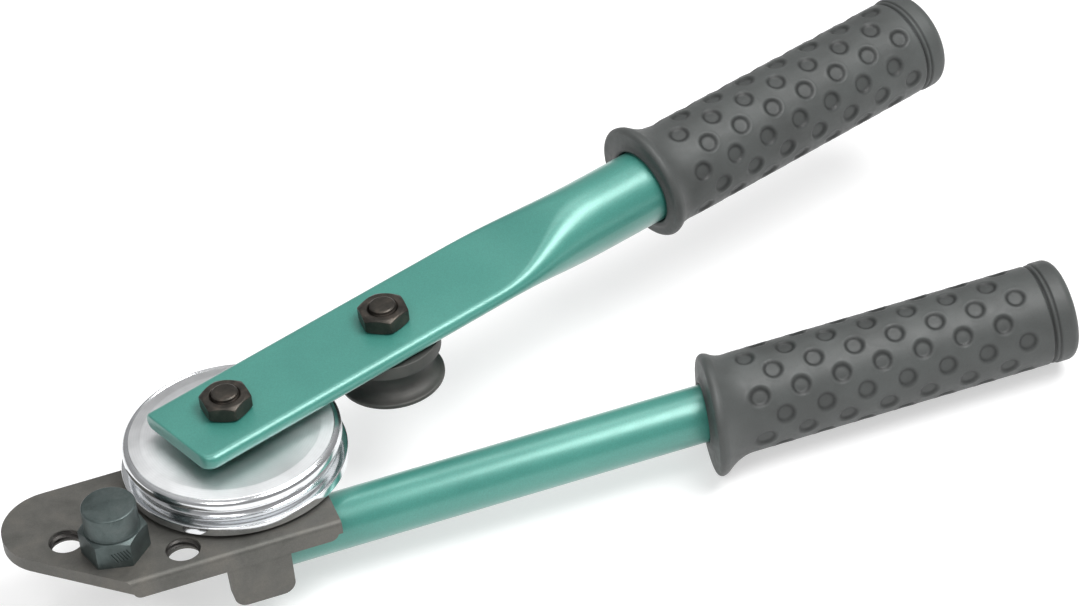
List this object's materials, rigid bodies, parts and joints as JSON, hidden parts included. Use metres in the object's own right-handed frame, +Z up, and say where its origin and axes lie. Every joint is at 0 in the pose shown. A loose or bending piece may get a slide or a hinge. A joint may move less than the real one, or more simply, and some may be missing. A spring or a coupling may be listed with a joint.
{
  "type": "scroll bender",
  "caption": "Hand tool that curls metal bar and strip: a vice-held plate with a grooved wheel and a stop, and a long swinging lever that carries a pressing roller.",
  "frame": {"origin": "on the pivot axis at the top face of the base plate", "axes": "+Z up along the pivot, +X along the fixed lower handle towards its grip, +Y away from the vice tab"},
  "size_m": [0.3812, 0.165, 0.0799],
  "materials": {
    "teal_paint": "satin teal-green metallic paint",
    "blackened_steel": "dark brown-grey blackened steel, satin",
    "blue_steel": "dark blue-grey turned steel",
    "dark_fastener": "blackened fastener steel",
    "roller_steel": "dark turned steel, satin",
    "turned_aluminium": "fine turned, bright rims",
    "grip_rubber": "matt moulded with dimples",
    "bush_bronze": "plain bearing bronze",
    "weld_steel": "blackened weld bead"
  },
  "bodies": {
    "base": {"base_plate": "blackened_steel", "lower_tube": "teal_paint", "tube_weld_front": "weld_steel", "tube_weld_back": "weld_steel", "stop_post": "blue_steel", "pivot_bolt": "dark_fastener", "pivot_washer": "dark_fastener", "wheel_thrust_washer": "dark_fastener", "pivot_spacer": "dark_fastener", "pivot_nut": "dark_fastener", "lower_grip": "grip_rubber"},
    "lever": {"upper_lever": "teal_paint", "lever_bush": "bush_bronze", "roller_bolt": "dark_fastener", "roller_spacer": "dark_fastener", "roller_nut": "dark_fastener", "upper_grip": "grip_rubber"},
    "wheel": {"forming_wheel": "turned_aluminium", "wheel_bush": "bush_bronze"},
    "roller": {"press_roller": "roller_steel", "roller_bush": "bush_bronze"}
  },
  "joints": [
    {"name": "lever_swing", "type": "hinge", "parent": "base", "child": "lever", "pos_m": [0, 0, 0], "axis": [0, 0, 1], "range_deg": [-22, 157]},
    {"name": "wheel_spin", "type": "hinge", "parent": "base", "child": "wheel", "pos_m": [0, 0, 0], "axis": [0, 0, 1], "continuous": true},
    {"name": "roller_spin", "type": "hinge", "parent": "lever", "child": "roller", "pos_m": [0.06318, 0.02201, 0], "axis": [0, 0, 1], "continuous": true}
  ]
}
